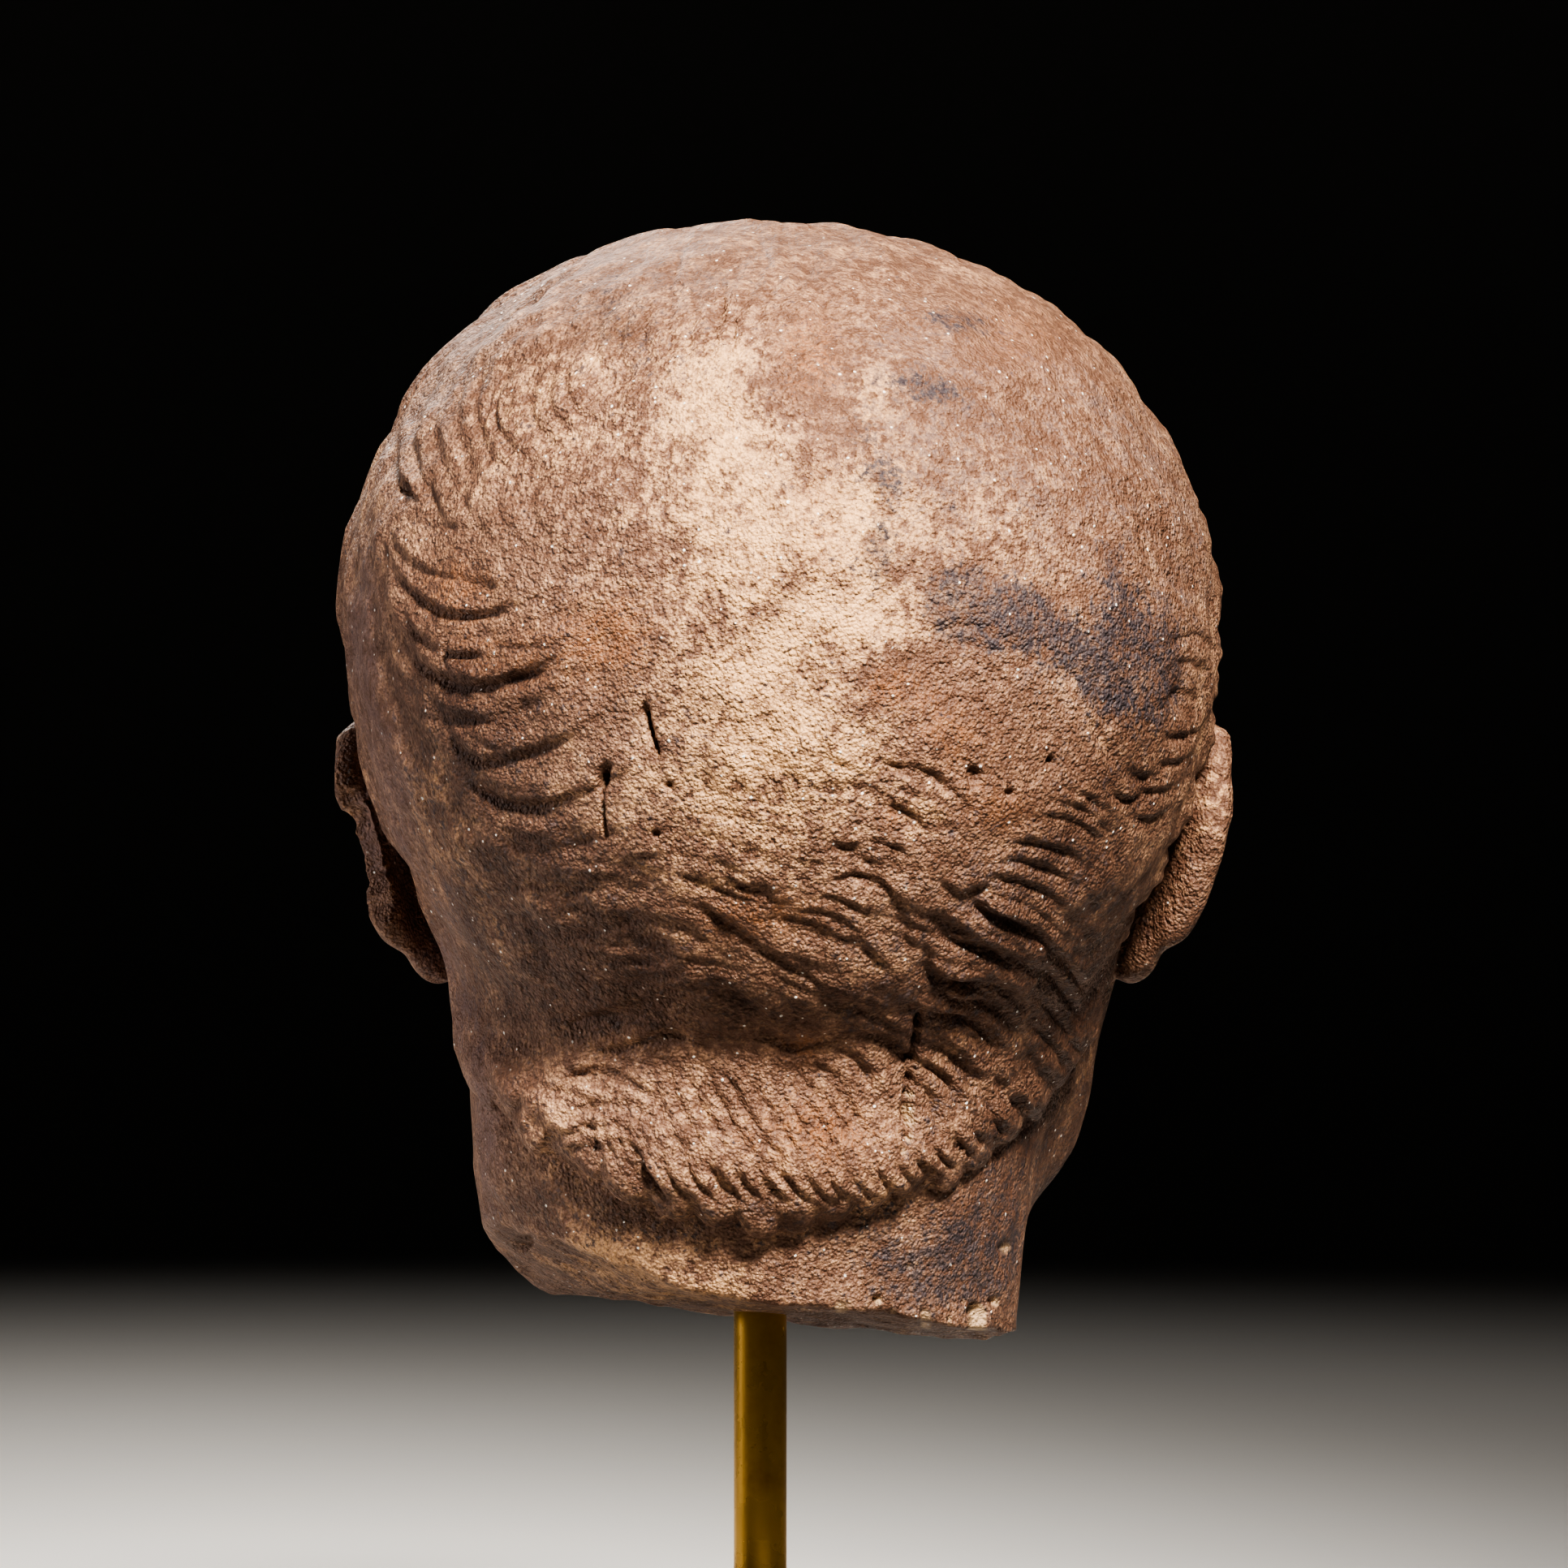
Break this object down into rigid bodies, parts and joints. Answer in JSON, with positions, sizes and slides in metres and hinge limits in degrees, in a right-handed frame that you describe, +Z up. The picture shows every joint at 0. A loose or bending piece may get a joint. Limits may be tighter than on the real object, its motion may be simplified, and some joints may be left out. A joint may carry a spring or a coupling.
{
  "type": "marble head sculpture",
  "caption": "Life-size marble head with cropped hair, broken obliquely through the neck, held on an upright brass rod set in a plain square stone foot.",
  "frame": {"origin": "centre of the foot's underside, under the rod's axis", "axes": "+Z up along the rod, -Y the way the face looks, +X the figure's left"},
  "size_m": [0.1688, 0.2146, 0.3059],
  "materials": {
    "marble": "weathered, warm brown patina, coarse grain",
    "brass": "polished, lightly tarnished",
    "dark_stone": "honed"
  },
  "bodies": {
    "root": {"marble_head": "marble", "brass_rod": "brass", "base_block": "dark_stone"}
  },
  "joints": []
}
